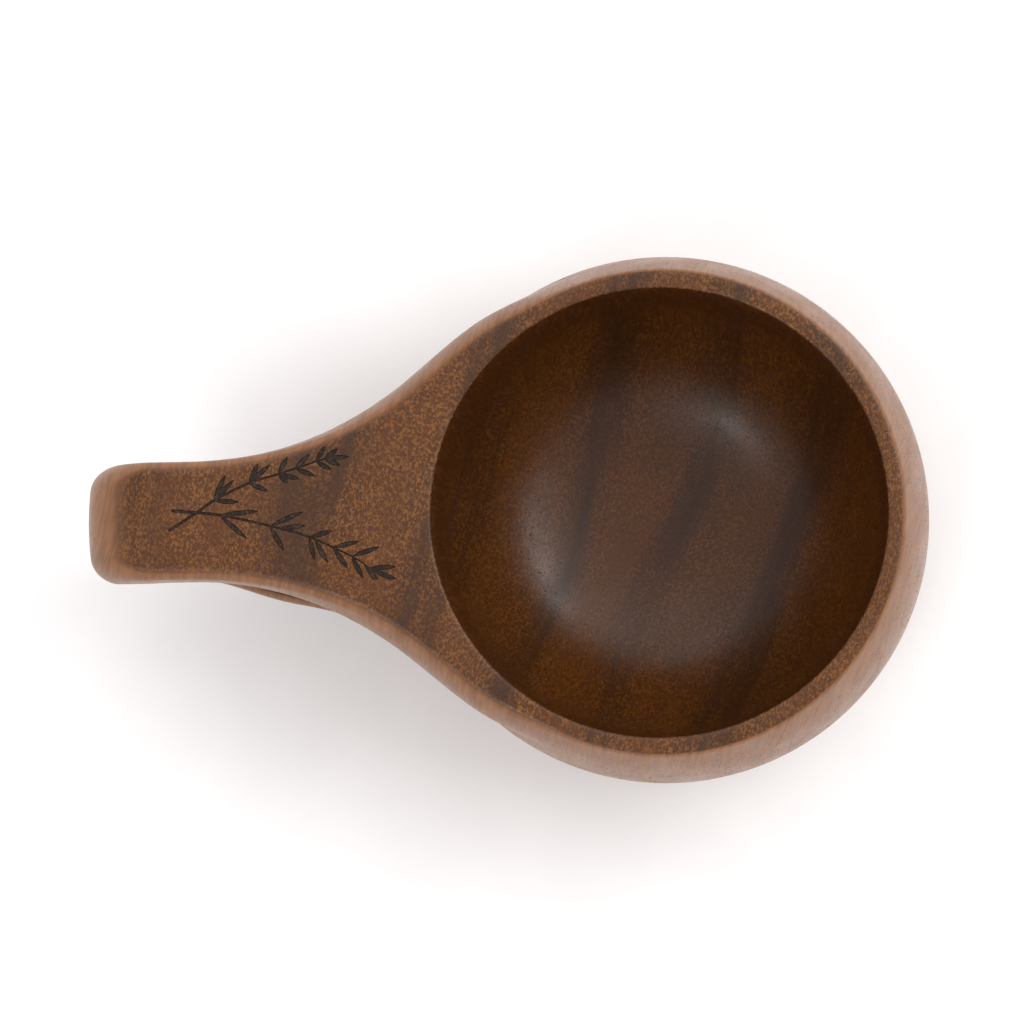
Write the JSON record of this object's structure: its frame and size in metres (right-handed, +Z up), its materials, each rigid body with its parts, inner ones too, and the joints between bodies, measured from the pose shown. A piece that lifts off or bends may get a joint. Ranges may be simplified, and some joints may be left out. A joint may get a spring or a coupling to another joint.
{
  "type": "carved wooden drinking cup with finger loop handle",
  "caption": "Round-bellied wooden drinking cup with a flat rim, a flat base and a flared handle that rolls over into a finger loop, with crossed leafy sprigs engraved on its top.",
  "frame": {"origin": "centre of the flat base, on the bowl's axis", "axes": "+Z up, out of the bowl's mouth; the handle points along -X; +Y to the left when looking from the handle's tip to the bowl"},
  "size_m": [0.1598, 0.1006, 0.06],
  "materials": {
    "carved_wood": "satin lacquer over reddish brown hardwood",
    "engraving_char": "matte, burned dark"
  },
  "bodies": {
    "root": {"cup_body": "carved_wood", "sprig_engraving": "engraving_char"}
  },
  "joints": []
}
